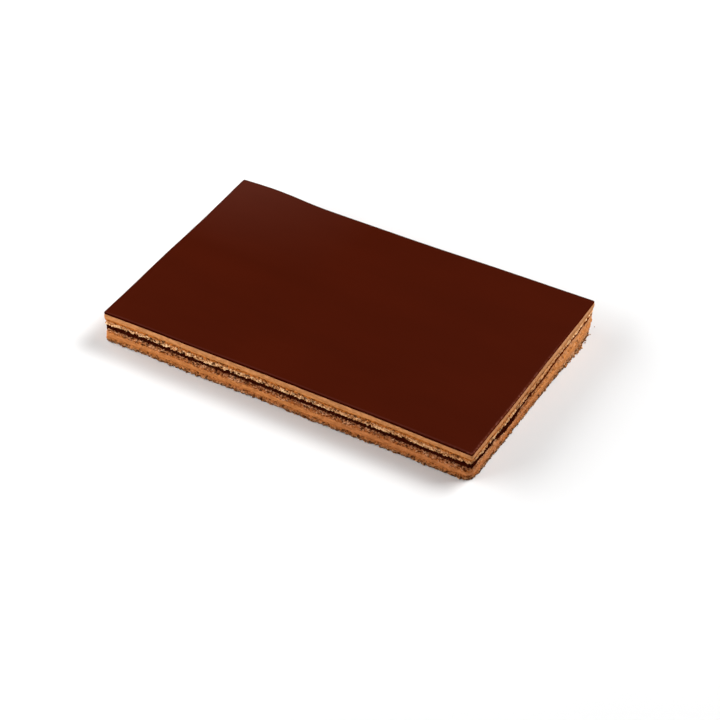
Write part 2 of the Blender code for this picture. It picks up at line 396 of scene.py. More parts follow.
def wall_surface(level, low, high):
    """The wall of a layer between two heights, each given for every station."""
    wall = WALLS[level]
    rows = max(3, round(float(np.mean(high - low)) / wall.row)) + 1
    share = np.linspace(0, 1, rows)[:, None]
    height = blend(low, high, share)
    foot, head = smooth_seams[level], smooth_seams[level + 1]
    place = np.clip((height - foot) / (head - foot), 0, 1)
    outset = np.zeros_like(height)  # of the frame's wall, as a parabola through the probes
    for probe in PROBES:
        others = [p for p in PROBES if p != probe]
        measured = rim.outset_of(LAYERS[level], blend(foot, head, probe))
        outset += measured * math.prod((place - p) / (probe - p) for p in others)
    relief = np.zeros_like(height)
    for i, (wave, depth, stretch) in enumerate(wall.noises):
        relief += depth * grain(rows, rim.count, wave, 100 + 10 * level + i, stretch)
    proud = relief / relief.std()
    relief = relief * rim.relief + wall.stand + wall.flush * rim.clean
    relief += wall.knobs * grain(rows, rim.count, KNOB_WAVE, 400 + level) * (1 - place) ** KNOB_FADE
    torn = np.maximum(rim.torn, 1 - smooth_step(place, *RAGGED_FOOT)) if wall.ragged_foot else rim.torn
    hollow = np.zeros_like(height)
    for i, (count, smallest, largest) in enumerate(wall.pits):
        holes = pores(rows, rim.count, count, smallest, largest, 200 + 10 * level + i)
        hollow = np.maximum(hollow, holes * torn)
    edge = np.minimum(height - low, high - height)
    rounding = EDGE_ROUNDING * (1 - smooth_step(edge, 0, EDGE_REACH))
    return Surface(height, outset + relief - hollow - rounding, hollow, proud)


# ---- closed meshes made of rings


class Skin:
    """A closed mesh of rings, from the lower face's middle, up the wall, to the upper face's middle."""

    def __init__(self):
        self.points = []
        self.marks = []
        self.quads = []
        self.triangles = []
        self.total = 0
        self.last = None

    def ring(self, place, height, share, hollow=0.0, proud=0.0):
        """Adds a ring, and joins it to the one before."""
        place = np.asarray(place, float).reshape(2, -1)
        count = place.shape[1]
        tables = [table[:: rim.count // count][:count] for table in (rim.torn, rim.dragged, rim.flaky)]
        rows = [np.broadcast_to(value, count) for value in (height, share, hollow, proud, *tables)]
        self.points.append(np.stack([place[0], place[1], rows[0]], axis=1))
        self.marks.append(np.stack(rows[1:], axis=1))
        this = self.total + np.arange(count)
        self.total += count
        if self.last is not None:
            self.join(self.last, this)
        self.last = this

    def join(self, below, above):
        """Joins two rings with quads, or with fans of triangles where one has fewer points."""
        if len(below) == len(above):
            self.quads.append(np.stack([below, np.roll(below, -1), np.roll(above, -1), above], axis=1))
            return
        upwards = len(above) > len(below)
        few, many = (below, above) if upwards else (above, below)
        apex = np.repeat(few, len(many) // len(few))
        following = np.roll(many, -1)
        spokes = [apex, following, many] if upwards else [many, following, apex]
        self.triangles.append(np.stack(spokes, axis=1))
        if len(few) > 1:
            corner = many[:: len(many) // len(few)]
            turned = np.roll(few, -1)
            ends = [few, turned, np.roll(corner, -1)] if upwards else [np.roll(corner, -1), turned, few]
            self.triangles.append(np.stack(ends, axis=1))

    def object_named(self, name):
        marks = np.concatenate(self.marks)
        keys = ("share", "hollow", "proud", "torn", "dragged", "flaky")
        named = {key: marks[:, i] for i, key in enumerate(keys)}
        return object_of(name, np.concatenate(self.points), self.quads, self.triangles, named)


def in_scene(name, data):
    """A new object in the scene."""
    made = bpy.data.objects.new(name, data)
    bpy.context.scene.collection.objects.link(made)
    return made


def object_of(name, points, quads, triangles, marks):
    """An object with a smooth-shaded mesh, and a number at each point for every mark."""
    polygons = [np.concatenate(group) for group in (quads, triangles) if group]
    sizes = np.concatenate([np.full(len(group), group.shape[1]) for group in polygons])
    corners = np.concatenate([group.ravel() for group in polygons])
    mesh = bpy.data.meshes.new(name)
    mesh.vertices.add(len(points))
    mesh.vertices.foreach_set("co", points.astype(np.float32).ravel())
    mesh.loops.add(len(corners))
    mesh.loops.foreach_set("vertex_index", corners.astype(np.int32))
    mesh.polygons.add(len(sizes))
    mesh.polygons.foreach_set("loop_start", (np.cumsum(sizes) - sizes).astype(np.int32))
    mesh.polygons.foreach_set("use_smooth", np.ones(len(sizes), bool))
    mesh.update(calc_edges=True)
    for key, values in marks.items():
        mesh.attributes.new(key, "FLOAT", "POINT").data.foreach_set("value", values.astype(np.float32))
    return in_scene(name, mesh)


def inwards(ring, count):
    """So many rings that shrink from this one, and the point in the middle."""
    return [ring * k / count for k in range(count, 0, -1)] + [np.zeros((2, 1))]


def add_cap(skin, level, edge_height, edge_outset, drop, share, upwards):
    """A flat face's rings. A lower face's run outwards from its middle, and an upper one's inwards."""
    face = face_maps[level]
    rings = []
    for inset in CAP_INSETS:
        place = rim.at(edge_outset - inset)
        height = blend(edge_height, face.at(place), smooth_step(inset, 0, CAP_INSETS[-1])) - drop
        rings.append((place, height))
    coarse = rim.at(edge_outset - COARSE_INSET)[:, ::COARSE]
    rings += [(place, face.at(place) - drop) for place in inwards(coarse, CAP_RINGS)]
    for place, height in rings if upwards else reversed(rings):
        skin.ring(place, height, share)


def layer_piece(level):
    """A closed mesh for one layer below the glaze."""
    low, high = seams[level], seams[level + 1]
    surface = surfaces[level]
    skin = Skin()
    drop = OVERLAP if level else 0
    add_cap(skin, level, low, surface.outset[0], drop, 0.0, upwards=False)
    rows = len(surface.height)
    for row in range(rows):
        share = row / (rows - 1)
        height = surface.height[row] - drop * (1 - share)
        skin.ring(rim.at(surface.outset[row]), height, share, surface.hollow[row], surface.proud[row])
    add_cap(skin, level + 1, high, surface.outset[-1], 0, 1.0, upwards=True)
    return skin.object_named(LAYERS[level] + "_torn")


GLAZE_STAND = 0.15 * MM
GLAZE_EDGE_PROBE = 0.35  # the share of its height where its edge is measured
GLAZE_ROUNDING = 0.4 * MM
GLAZE_FALL = 0.12 * MM  # the poured face falls this much towards its edge
GLAZE_FALL_REACH = 4.5 * MM
GLAZE_INSETS = tuple(mm * MM for mm in (1.1, 1.6, 2.3, 3.2, 4.2))
GLAZE_TURNS = (18, 36, 54, 72, 90)  # degrees of its rounding
GLAZE_UPRIGHT = 3  # rings up the cut edge
GLAZE_WAVES = ((38 * MM, 0.05 * MM, 0.35), (95 * MM, 0.10 * MM, 0.5))  # wavelength, depth, and share along X
WAVES_EACH = 6
WAVE_TURN = 0.5  # radians
WAVE_ACROSS = (0.6, 1.4)


def glaze_waves(place):
    """The slow unevenness of the poured face, drawn out along the cake by the spatula."""
    height = np.zeros(place.shape[1])
    random = np.random.default_rng(7)
    for wave, depth, stretch in GLAZE_WAVES:
        for _ in range(WAVES_EACH):
            turn = random.uniform(-WAVE_TURN, WAVE_TURN)
            along = place[0] * math.cos(turn) + place[1] * math.sin(turn)
            cycles = (along * stretch + place[1] * random.uniform(*WAVE_ACROSS)) / wave
            height += 2 * depth / WAVES_EACH * np.sin(2 * np.pi * (cycles + random.random()))
    return height


def glaze_top(place, inset):
    """The poured face's height, which falls a little towards its edge."""
    fall = GLAZE_FALL * (1 - smooth_step(inset, 0, GLAZE_FALL_REACH))
    return face_maps[-1].at(place) + glaze_waves(place) - fall


def glaze_piece():
    """The poured glaze: a cut edge, a soft rounding, and a long fine face."""
    low = seams[GLAZE] - OVERLAP
    probe = blend(smooth_seams[GLAZE], smooth_seams[-1], GLAZE_EDGE_PROBE)
    edge = rim.outset_of("glaze", probe) + GLAZE_STAND
    top = glaze_top(rim.at(edge - GLAZE_ROUNDING), GLAZE_ROUNDING)
    skin = Skin()
    add_cap(skin, GLAZE, seams[GLAZE], edge, OVERLAP, 0.0, upwards=False)
    for share in np.linspace(0, 1, GLAZE_UPRIGHT):
        skin.ring(rim.at(edge), blend(low, top - GLAZE_ROUNDING, share), share)
    for turn in np.radians(GLAZE_TURNS):
        inset = GLAZE_ROUNDING * (1 - math.cos(turn))
        height = top - GLAZE_ROUNDING * (1 - math.sin(turn))
        skin.ring(rim.at(edge - inset), height, 1 + inset / MM)
    for inset in GLAZE_INSETS:
        place = rim.at(edge - inset)
        skin.ring(place, glaze_top(place, inset), 1 + inset / MM)
    coarse = rim.at(edge - COARSE_INSET)[:, :: COARSE // 2]
    for place in inwards(coarse, GLAZE_RINGS):
        skin.ring(place, glaze_top(place, COARSE_INSET), 1 + COARSE_INSET / MM)
    return skin.object_named("glaze_poured")


smooth_seams = [face.at(rim.at(-RIM_INSET)) for face in face_maps]
seams = [seam_height(level) for level in range(len(SEAMS))]
for level in range(1, len(seams)):
    seams[level] = np.maximum(seams[level], seams[level - 1] + THINNEST)
surfaces = [wall_surface(level, seams[level], seams[level + 1]) for level in range(GLAZE)]


# ---- crumbs


def unit_ball():
    """Points and triangles of an icosphere."""
    shape = bmesh.new()
    bmesh.ops.create_icosphere(shape, subdivisions=1, radius=1)
    points = np.array([v.co[:] for v in shape.verts])
    faces = np.array([[v.index for v in f.verts] for f in shape.faces])
    shape.free()
    return points, faces


CRUMB_DENTS = 0.3
CRUMB_SQUASH = (0.6, 1.3)


def crumb_points(ball, centres, radii, random):
    """A lump round each centre, every one turned, squashed and dented in its own way."""
    count = len(centres)
    turns = np.linalg.qr(random.standard_normal((count, 3, 3)))[0]
    dents = 1 + random.uniform(-CRUMB_DENTS, CRUMB_DENTS, (count, len(ball), 1))
    squash = random.uniform(*CRUMB_SQUASH, (count, 1, 3))
    lumps = np.einsum("nij,nvj->nvi", turns, ball[None] * dents * squash)
    return centres[:, None] + lumps * radii[:, None, None]


# Radii are in mm, from the first to the second. The third, a power, makes most crumbs small.
FOOT_RADII = (0.22, 0.75, 2.5)
WALL_RADII = (0.18, 0.5, 2.5)
PILE_RADII = (0.35, 1.0, 2)
FOOT_CRUMBS = 1000
FOOT_REACH = 0.15 * MM  # how far out they lie on average
FOOT_TUCK = 0.3 * MM  # how far under the wall they start
FOOT_LIFT = 1.15  # by radius
WALL_CRUMBS = ((0, 500), (2, 450), (4, 350), (1, 60))  # by layer
WALL_STAND = 0.2  # by radius
PILE = (62 * MM, 9 * MM, 110)  # a heap by the right foot: its y, its spread along it, and its crumbs
PILE_REACH = (0.6 * MM, 2 * MM)  # on average, and at most
PILE_TUCK = 0.8 * MM
PILE_SLOPE_START = 0.5 * MM
PILE_SINK = 0.7  # by radius


def crumb_radii(random, count, radii):
    smallest, largest, power = radii
    return blend(smallest, largest, random.random(count) ** power) * MM


def places_on(station, outset):
    """Places at single stations, as x and y."""
    return rim.start[:, station] + rim.ray[:, station] * (rim.reach[station] + outset)


def foot_crumbs(random):
    """Centres and radii of crumbs on the board, close to the foot."""
    station = random.integers(0, rim.count, FOOT_CRUMBS)
    radius = crumb_radii(random, FOOT_CRUMBS, FOOT_RADII)
    outset = surfaces[0].outset[0][station] + random.exponential(FOOT_REACH, FOOT_CRUMBS) - FOOT_TUCK
    return np.column_stack([*places_on(station, outset), cad_box[0].z + radius * FOOT_LIFT]), radius


def wall_crumbs(random, level, count):
    """Centres and radii of crumbs that cling to a layer's wall."""
    surface = surfaces[level]
    row = random.integers(1, len(surface.height) - 1, count)
    station = random.integers(0, rim.count, count)
    radius = crumb_radii(random, count, WALL_RADII)
    outset = surface.outset[row, station] + radius * WALL_STAND
    return np.column_stack([*places_on(station, outset), surface.height[row, station]]), radius


def pile_crumbs(random):
    """Centres and radii of crumbs heaped against the right foot."""
    middle, spread, count = PILE
    usual, most = PILE_REACH
    wall = cad_box[1].x
    radius = crumb_radii(random, count, PILE_RADII)
    x = wall + np.minimum(random.exponential(usual, count), most) - PILE_TUCK
    y = middle + random.normal(0, spread, count)
    z = radius * PILE_SINK + np.maximum(0, wall + PILE_SLOPE_START - x) * random.random(count)
    return np.column_stack([x, y, z]), radius


def crumbs_piece():
    """All the loose crumbs, in one mesh."""
    random = np.random.default_rng(11)
    groups = [foot_crumbs(random), pile_crumbs(random)]
    groups += [wall_crumbs(random, level, count) for level, count in WALL_CRUMBS]
    centres, radii = (np.concatenate(parts) for parts in zip(*groups))
    ball, faces = unit_ball()
    points = crumb_points(ball, centres, radii, random)
    points[..., 2] = np.maximum(points[..., 2], cad_box[0].z)
    triangles = faces[None] + (np.arange(len(centres)) * len(ball))[:, None, None]
    tone = np.repeat(random.random(len(centres)), len(ball))
    return object_of("crumbs", points.reshape(-1, 3), [], [triangles.reshape(-1, 3)], {"tone": tone})


# ---- materials

# Colours are linear red, green and blue. Bands are stops of (share of height, colour or amount).
# A mask runs from 0 at its first value to 1 at its second.
LEFT_WARMTH = (1.07, 1.12, 1.03)
LEFT_OF_SPONGE = (-40 * MM, -90 * MM)
LEFT_OF_CREAM = (50 * MM, 10 * MM)
CORNER_ENDS = ((-92 * MM, -78 * MM), (-52 * MM, -58 * MM))


class Spots(NamedTuple):
    """Spots of a colour where a factor passes the mask, and how much they cover."""

    colour: tuple
    mask: tuple
    cover: float


class Paint:
    """A material's nodes, with a short call for each kind. Its body is the colour that the steps build up."""

    def __init__(self, name, roughness, specular=0.0):
        self.material = bpy.data.materials.new(name)
        self.material.use_nodes = True
        self.tree = self.material.node_tree
        self.shader = self.tree.nodes["Principled BSDF"]
        self.dress("Roughness", roughness)
        self.dress("Specular IOR Level", specular)
        self.place = self.node("ShaderNodeTexCoord", {}, "Object")
        self.body = None

    def put(self, socket, value):
        """Links a socket to another one, or sets its value."""
        if isinstance(value, bpy.types.NodeSocket):
            self.tree.links.new(value, socket)
        else:
            socket.default_value = value

    def node(self, kind, inputs, output=0, **settings):
        """One output of a new node with these inputs and settings."""
        made = self.tree.nodes.new(kind)
        for key, value in settings.items():
            setattr(made, key, value)
        for key, value in inputs.items():
            self.put(made.inputs[key], value)
        return made.outputs[output]

    def dress(self, key, value):
        self.put(self.shader.inputs[key], value)

    def attribute(self, name):
        return self.node("ShaderNodeAttribute", {}, "Fac", attribute_name=name)

    def reckon(self, operation, a, b):
        return self.node("ShaderNodeMath", {0: a, 1: b}, operation=operation)

    plus = partialmethod(reckon, "ADD")
    minus = partialmethod(reckon, "SUBTRACT")
    times = partialmethod(reckon, "MULTIPLY")
    most = partialmethod(reckon, "MAXIMUM")

    def noise(self, size, detail=3.0, roughness=0.6, stretch=(1, 1, 1), seed=0.0):
        """Noise from 0 to 1, in lumps of this size in metres, which are so much longer along each axis."""
        scale = [1 / (size * s) for s in stretch]
        shift = (seed, seed * 0.7, seed * 0.3)
        place = self.node("ShaderNodeMapping", {"Vector": self.place, "Scale": scale, "Location": shift})
        inputs = {"Vector": place, "Scale": 1.0, "Detail": detail, "Roughness": roughness}
        return self.node("ShaderNodeTexNoise", inputs, "Fac")

    def ramp(self, factor, *stops):
        """Grey levels or colours by factor, from stops of (position, colour)."""
        node = self.tree.nodes.new("ShaderNodeValToRGB")
        elements = node.color_ramp.elements
        while len(elements) < len(stops):
            elements.new(0.5)
        for element, (position, colour) in zip(elements, stops):
            element.position = position
            element.color = colour_of(colour)
        self.put(node.inputs[0], factor)
        return node.outputs["Color"]

    def between(self, factor, low, high):
        """0 below low and 1 above high."""
        return self.node("ShaderNodeMapRange", {"Value": factor, "From Min": low, "From Max": high})

    def mix(self, factor, a, b, blend_type="MIX"):
        """The first colour where the factor is 0, and the second where it is 1."""
        inputs = {0: factor, 6: colour_of(a), 7: colour_of(b)}
        return self.node("ShaderNodeMix", inputs, 2, data_type="RGBA", blend_type=blend_type)

    def hump(self, factor, rise, fall):
        """1 between two masks, and 0 beyond them."""
        return self.times(self.between(factor, *rise), self.between(factor, *fall))

    def lay(self, colour, mask, cover):
        """Hides the body under a colour, to this share where the mask is 1."""
        self.body = self.mix(self.times(mask, cover), self.body, colour)

    def spot(self, spots, factor):
        self.lay(spots.colour, self.between(factor, *spots.mask), spots.cover)

    def tint(self, tint, mask=1.0):
        """Multiplies the body by a tint where the mask is 1."""
        self.body = self.mix(mask, self.body, tint, "MULTIPLY")

    def bump(self, height, depth, strength):
        inputs = {"Height": height, "Distance": depth, "Strength": strength}
        self.dress("Normal", self.node("ShaderNodeBump", inputs))

    def along(self, axis):
        return self.node("ShaderNodeSeparateXYZ", {0: self.place}, axis)

    def warm_left(self, places):
        """Warms the body little by little, from one place along X to the next."""
        self.tint(LEFT_WARMTH, self.between(self.along("X"), *places))

    def right_corner(self):
        """1 on the right side from the front corner to the ganache's pocket, and 0 elsewhere."""
        on_right = self.between(self.along("X"), 0, cad_box[1].x)
        return self.times(self.hump(self.along("Y"), *CORNER_ENDS), on_right)

    def done(self):
        self.dress("Base Color", self.body)
        return self.material


def colour_of(value):
    """A grey level or a colour as RGBA, and a socket as it is."""
    if isinstance(value, bpy.types.NodeSocket):
        return value
    return (value, value, value, 1) if isinstance(value, (int, float)) else (*value, 1)


class Sponge(NamedTuple):
    """How one of the three sponges looks."""

    name: str
    bands: tuple
    smear: tuple  # the same where the cut is clean
    pale: tuple  # the colour of its flakes
    pale_band: tuple
    soaked: tuple  # the colour of its syrupy dashes
    soak_band: tuple
    flakes_from: float = 3.45  # the higher, the fewer
    flaky_where_torn: float = 0.0
    ragged_foot: bool = False
    warm_left: bool = False
    smeared_corner: bool = False


BAND_STRAY = 0.2  # how far the bands wander, by share of the layer's height
SMEAR_COVER = 0.85
CORNER_SMEAR = 0.45  # how much less torn a smeared corner is
CORNER_TINT = (0.97, 1.12, 1.5)
LUMPS = 7.0  # the weight of noise in the lumps
RELIEF_LIGHT_AND_SHADE = 0.4  # and that of the relief, which puts pale flakes on the crests and dark cracks in the hollows: partly painted light and shade
FLAKE_SPAN = 0.5  # from no flake to a full one
FINE_TINTS = ((0.3, (0.76, 0.63, 0.45)), (0.7, (1.24, 1.27, 1.34)))
DASH_MASK = (0.54, 0.60)
# Painted shade in the gaps between the lumps, where the cut is torn.
CRACK_SHADE = Spots((0.105, 0.020, 0.003), mask=(2.95, 2.35), cover=0.7)
FEW_FLAKES = 0.6  # what the lumps lose without flakes, for more painted crack shade
FOOT_RISE = 0.4  # the foot's painted notch shade and its flakes reach so much higher where the cut is clean
FOOT_LUMPS = 0.35  # and there are more flakes
FOOT_NOTCH_SHADE = 0.03  # and more painted notch shade
# Painted shade in the notches between the foot's crumbs.
NOTCH_SHADE = Spots((0.060, 0.023, 0.009), mask=(0.51, 0.555), cover=0.92)
NOTCH_SHADE_HEIGHTS = (0.65, 0.25)
# Painted shade in the pores, darker the deeper they are.
PORE_SHADE = Spots((0.050, 0.009, 0.0015), mask=(0.1 * MM, 0.5 * MM), cover=0.8)


def lay_bands(paint, sponge, share, torn):
    """The bands of colour, and the smear over them where the cut is clean."""
    smear = paint.ramp(share, *sponge.smear)
    if sponge.smeared_corner:
        smear = paint.mix(paint.right_corner(), smear, CORNER_TINT, "MULTIPLY")
    clean = paint.minus(1.0, paint.between(torn, *CLEAN_TO_TORN))
    paint.body = paint.ramp(share, *sponge.bands)
    paint.lay(smear, clean, SMEAR_COVER)
    if sponge.warm_left:
        paint.warm_left(LEFT_OF_SPONGE)


def lay_notch_shade(paint, foot, spread):
    """Painted shade in the notches between the crumbs of a ragged foot."""
    notch_shade = paint.noise(1.3 * MM, stretch=(1.2, 2.4, 1.1), seed=31)
    notch_shade = paint.between(paint.plus(notch_shade, paint.times(spread, FOOT_NOTCH_SHADE)), *NOTCH_SHADE.mask)
    notch_shade = paint.times(notch_shade, paint.between(foot, *NOTCH_SHADE_HEIGHTS))
    paint.lay(NOTCH_SHADE.colour, notch_shade, NOTCH_SHADE.cover)


def sponge_material(sponge):
    """Torn sponge: colours by height, pale flakes, soaked dark dashes, and painted shade in its cracks, pores
    and foot notches.
    """
    paint = Paint(sponge.name, roughness=0.95)
    stray = paint.times(paint.noise(2.5 * MM, detail=2, roughness=0.5), BAND_STRAY)
    share = paint.minus(paint.plus(paint.attribute("share"), stray), BAND_STRAY / 2)
    torn = paint.attribute("torn")
    if sponge.ragged_foot:
        ragged_foot = paint.between(share, *reversed(RAGGED_FOOT))
        spread = paint.most(paint.right_corner(), paint.between(torn, *reversed(CLEAN_TO_TORN)))
        torn = paint.most(torn, ragged_foot)
    if sponge.smeared_corner:
        torn = paint.minus(torn, paint.times(paint.right_corner(), CORNER_SMEAR))
    lay_bands(paint, sponge, share, torn)
    lumps = paint.noise(0.9 * MM, detail=4, roughness=0.65, stretch=(1.6, 2.3, 1.0), seed=3)
    # The relief raises the lumps: pale flakes gather on the crests and painted crack shade in the hollows.
    lumps = paint.plus(paint.times(lumps, LUMPS), paint.times(paint.attribute("proud"), RELIEF_LIGHT_AND_SHADE))
    flaky = paint.most(paint.attribute("flaky"), paint.times(torn, sponge.flaky_where_torn))
    foot, standing = share, lumps
    if sponge.ragged_foot:
        flaky = paint.most(flaky, ragged_foot)
        foot = paint.minus(share, paint.times(spread, FOOT_RISE))
        standing = paint.plus(lumps, paint.times(spread, FOOT_LUMPS))
    flakes = paint.between(standing, sponge.flakes_from, sponge.flakes_from + FLAKE_SPAN)
    paint.lay(sponge.pale, paint.times(flakes, flaky), paint.ramp(foot, *sponge.pale_band))
    paint.tint(paint.ramp(paint.noise(0.7 * MM, seed=5), *FINE_TINTS))
    dashes = paint.noise(1.0 * MM, stretch=(2.0, 3.2, 1.0), seed=21)
    dashes = paint.times(paint.between(dashes, *DASH_MASK), paint.ramp(share, *sponge.soak_band))
    paint.lay(sponge.soaked, dashes, torn)
    # Painted shade in the gaps between the lumps, more where there are few flakes.
    sparse = paint.minus(1.0, paint.attribute("flaky"))
    crack_shade = paint.between(paint.minus(lumps, paint.times(sparse, FEW_FLAKES)), *CRACK_SHADE.mask)
    paint.lay(CRACK_SHADE.colour, crack_shade, paint.times(torn, CRACK_SHADE.cover))
    if sponge.ragged_foot:
        lay_notch_shade(paint, foot, spread)
    # Painted shade in the pores.
    paint.spot(PORE_SHADE, paint.attribute("hollow"))
    paint.bump(paint.noise(0.45 * MM, detail=4, roughness=0.65, seed=2), depth=0.2 * MM, strength=0.8)
    return paint.done()


CREAM_HEIGHTS = (0.05, 0.85)  # of its two colours, by share of its own
STREAKS = {"mask": (0.35, 0.7), "cover": 0.35}
CREAM_CLOUDS = ((0.40, (0.80, 0.75, 0.66)), (0.60, (1.14, 1.16, 1.20)))
CREAM_CLEAN = (0.9, 0.5)  # by how torn the cut is
UNDER_RIM_MASK = (0.76, 1.05)  # by share of its height
# Painted shade in the pits, darker the deeper they are.
CREAM_PIT_SHADE = Spots((0.12, 0.04, 0.012), mask=(0.05 * MM, 0.4 * MM), cover=0.6)


def cream_material(name, low, high, streak, clean_tint, dragged_over=None, warm_left=False):
    """Buttercream drawn out by the knife: soft streaks, a few pits with painted shade in them, and darker,
    pinker cream just under the glaze's rim.
    """
    paint = Paint(name, roughness=0.6, specular=0.12)
    share = paint.attribute("share")
    paint.body = paint.ramp(share, *zip(CREAM_HEIGHTS, (low, high)))
    streaks = paint.noise(0.8 * MM, roughness=0.55, stretch=(9, 9, 1), seed=4)
    paint.spot(Spots(streak, **STREAKS), streaks)
    clouds = paint.noise(2 * MM, detail=5, roughness=0.7, stretch=(2.2, 2.2, 1), seed=6)
    paint.tint(paint.ramp(clouds, *CREAM_CLOUDS))
    if warm_left:
        paint.warm_left(LEFT_OF_CREAM)
    clean = paint.between(paint.attribute("torn"), *CREAM_CLEAN)
    paint.tint(paint.ramp(share, *clean_tint), clean)
    # Darker and pinker just under the glaze's rim, most on the right by the front corner.
    if dragged_over:
        paint.tint(dragged_over, paint.times(paint.between(share, *UNDER_RIM_MASK), paint.attribute("dragged")))
    # Painted shade in the pits.
    paint.spot(CREAM_PIT_SHADE, paint.attribute("hollow"))
    paint.bump(paint.noise(0.6 * MM, stretch=(5, 5, 1), seed=8), depth=0.08 * MM, strength=0.6)
    return paint.done()


GANACHE_TONES = ((0.35, (0.017, 0.0010, 0.0002)), (0.7, (0.045, 0.0060, 0.0013)))
GANACHE_CRUMBS = Spots((0.22, 0.09, 0.04), mask=(0.68, 0.74), cover=0.5)
GANACHE_CUT = Spots((0.115, 0.017, 0.0015), mask=(0.85, 0.5), cover=0.85)  # by how torn the cut is


def ganache_material():
    """Nearly black where it is torn, with a few crumbs, and red brown where it is cut cleanly."""
    paint = Paint("ganache_seam", roughness=0.6)
    paint.body = paint.ramp(paint.noise(1.6 * MM, stretch=(1.6, 1.6, 1.0), seed=1), *GANACHE_TONES)
    paint.spot(GANACHE_CRUMBS, paint.noise(0.9 * MM, detail=2, roughness=0.5, seed=12))
    paint.spot(GANACHE_CUT, paint.attribute("torn"))
    paint.bump(paint.noise(0.7 * MM, seed=13), depth=0.15 * MM, strength=0.7)
    return paint.done()


GLAZE_FACE = (0.0505, 0.0050, 0.0009)
GLAZE_EDGE_SHADE = (0.026, 0.0012, 0.0001)  # its cut edge, darker than the face: painted shade
GLAZE_EDGE_LIT = (0.060, 0.0045, 0.0002)  # and a lighter copy at the right, where the key light falls: painted light
GLAZE_CREST_HIGHLIGHT = (0.064, 0.0122, 0.0078)  # a painted highlight: a faint pale line just behind the front rim
GLAZE_RIM_GLINT = ((0.48, (0.095, 0.0175, 0.0065)), (0.62, (0.18, 0.058, 0.040)))  # a painted highlight in broken dashes along the rim
GLAZE_BACK_LEFT_SHEEN = (0.066, 0.0125, 0.0066)  # a painted sheen at the back left
GLAZE_CLOUDS = ((0.3, 0.94), (0.7, 1.06))
RIM_GLINT_MASK = (0.25, 1.0)
# By the share mark, which is 1 at the top of the cut edge, and grows by 1 with each mm inwards.
FACE_MASK = (1.0, 1.9)
RIM_GLINT_ENDS = ((0.95, 1.15), (2.6, 1.5))
CREST_ENDS = ((1.65, 2.15), (3.1, 2.3))
POURED_MASK = (1.35, 1.55)
GLAZE_ROUGHNESS = (0.22, 0.32)
COAT_WEIGHT = 0.25
COAT_ROUGHNESS = 0.28


def glaze_gloss(paint, inset):
    """The glaze's gloss, with the spatula's faint long streaks."""
    streaks = paint.noise(3.0 * MM, detail=4, stretch=(22, 1, 1), seed=5)
    inputs = {"Value": streaks, "To Min": GLAZE_ROUGHNESS[0], "To Max": GLAZE_ROUGHNESS[1]}
    paint.dress("Roughness", paint.node("ShaderNodeMapRange", inputs))
    paint.dress("Coat Weight", paint.times(paint.between(inset, *POURED_MASK), COAT_WEIGHT))
    paint.dress("Coat Roughness", COAT_ROUGHNESS)
    paint.bump(streaks, depth=0.03 * MM, strength=0.5)


def glaze_material():
    """A satin glaze: deep red brown, its cut edge painted darker in front and lighter at the right, with
    painted highlights along the rim and behind the front rim, and a painted sheen at the back left.
    """
    paint = Paint("glaze_satin", roughness=0.3)
    inset = paint.attribute("share")

    def towards(axis, end, near, far):
        """Grows from 0 to 1 between these shares of the way from the middle to an end."""
        return paint.between(paint.along(axis), near * end, far * end)

    to_right = towards("X", cad_box[1].x, near=0.96, far=0.98)
    to_front = towards("Y", cad_box[0].y, near=0.90, far=0.96)
    to_left = towards("X", cad_box[0].x, near=0.2, far=0.95)
    to_back = towards("Y", cad_box[1].y, near=0.1, far=0.95)
    # The cut edge: painted shade in front, and a lighter, painted lit copy at the right.
    side = paint.mix(to_right, GLAZE_EDGE_SHADE, GLAZE_EDGE_LIT)
    paint.body = paint.mix(paint.between(inset, *FACE_MASK), side, GLAZE_FACE)
    # A painted highlight: a faint pale line just behind the front rim.
    paint.lay(GLAZE_CREST_HIGHLIGHT, paint.hump(inset, *CREST_ENDS), to_front)
    # A painted highlight in broken dashes along the rim, strongest on the right by the front corner.
    rim_glint = paint.ramp(paint.noise(2.5 * MM, seed=17), *GLAZE_RIM_GLINT)
    dragged = paint.between(paint.attribute("dragged"), *RIM_GLINT_MASK)
    paint.lay(rim_glint, paint.hump(inset, *RIM_GLINT_ENDS), dragged)
    # A painted sheen that grows towards the back left.
    paint.lay(GLAZE_BACK_LEFT_SHEEN, to_left, to_back)
    clouds = paint.noise(30 * MM, roughness=0.5, stretch=(3.0, 1.0, 1.0), seed=2)
    paint.tint(paint.ramp(clouds, *GLAZE_CLOUDS))
    glaze_gloss(paint, inset)
    return paint.done()


CRUMB_TONES = (
    (0.0, (0.26, 0.09, 0.030)), (0.35, (0.45, 0.165, 0.050)),
    (0.75, (0.56, 0.25, 0.09)), (1.0, (0.76, 0.48, 0.25)),
)
CRUMB_FINE = ((0.3, 0.75), (0.7, 1.2))


def crumb_material():
    """Loose crumbs, each one of a tone of its own."""
    paint = Paint("crumb_loose", roughness=0.95)
    paint.body = paint.ramp(paint.attribute("tone"), *CRUMB_TONES)
    paint.tint(paint.ramp(paint.noise(0.4 * MM), *CRUMB_FINE))
    paint.bump(paint.noise(0.3 * MM), depth=0.1 * MM, strength=0.8)
    return paint.done()


